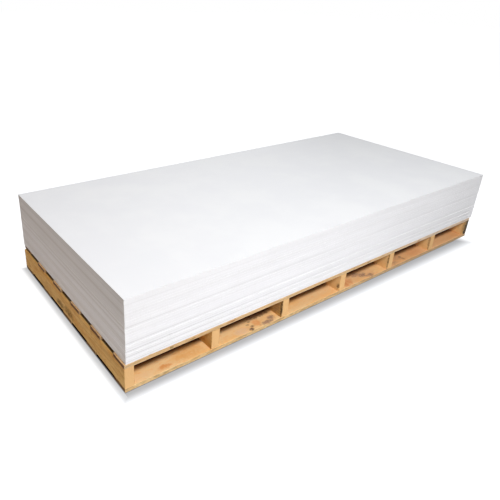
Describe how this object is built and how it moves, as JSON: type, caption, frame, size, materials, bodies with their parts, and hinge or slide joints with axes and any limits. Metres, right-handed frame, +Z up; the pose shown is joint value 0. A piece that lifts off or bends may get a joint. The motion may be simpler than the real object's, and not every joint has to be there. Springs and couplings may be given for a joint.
{
  "type": "pallet load of calcium silicate board",
  "caption": "Squared pile of plain white calcium silicate sheets on a low timber pallet, whose bearers leave openings for forks along its long sides.",
  "frame": {"origin": "under the middle of the load's outer box, on the floor", "axes": "+X along the sheets, +Y from the front long side to the back, +Z up"},
  "size_m": [2.709, 1.2222, 0.452],
  "materials": {
    "sheet": "matte, smooth faces and sawn edges",
    "bearer": "rough sawn, unplaned",
    "deck_board": "rough sawn, unplaned",
    "bottom_board": "rough sawn, unplaned"
  },
  "bodies": {
    "root": {"bottom_board_1": "bottom_board", "bottom_board_2": "bottom_board", "bottom_board_3": "bottom_board", "bottom_board_4": "bottom_board", "bottom_board_5": "bottom_board", "bearer_1": "bearer", "bearer_2": "bearer", "bearer_3": "bearer", "bearer_4": "bearer", "bearer_5": "bearer", "bearer_6": "bearer", "bearer_7": "bearer", "deck_board_1": "deck_board", "deck_board_2": "deck_board", "deck_board_3": "deck_board", "deck_board_4": "deck_board", "deck_board_5": "deck_board", "deck_board_6": "deck_board", "sheet_01": "sheet", "sheet_02": "sheet", "sheet_03": "sheet", "sheet_04": "sheet", "sheet_05": "sheet", "sheet_06": "sheet", "sheet_07": "sheet", "sheet_08": "sheet", "sheet_09": "sheet", "sheet_10": "sheet", "sheet_11": "sheet", "sheet_12": "sheet", "sheet_13": "sheet", "sheet_14": "sheet", "sheet_15": "sheet", "sheet_16": "sheet", "sheet_17": "sheet", "sheet_18": "sheet", "sheet_19": "sheet", "sheet_20": "sheet", "sheet_21": "sheet", "sheet_22": "sheet", "sheet_23": "sheet", "sheet_24": "sheet"}
  },
  "joints": []
}
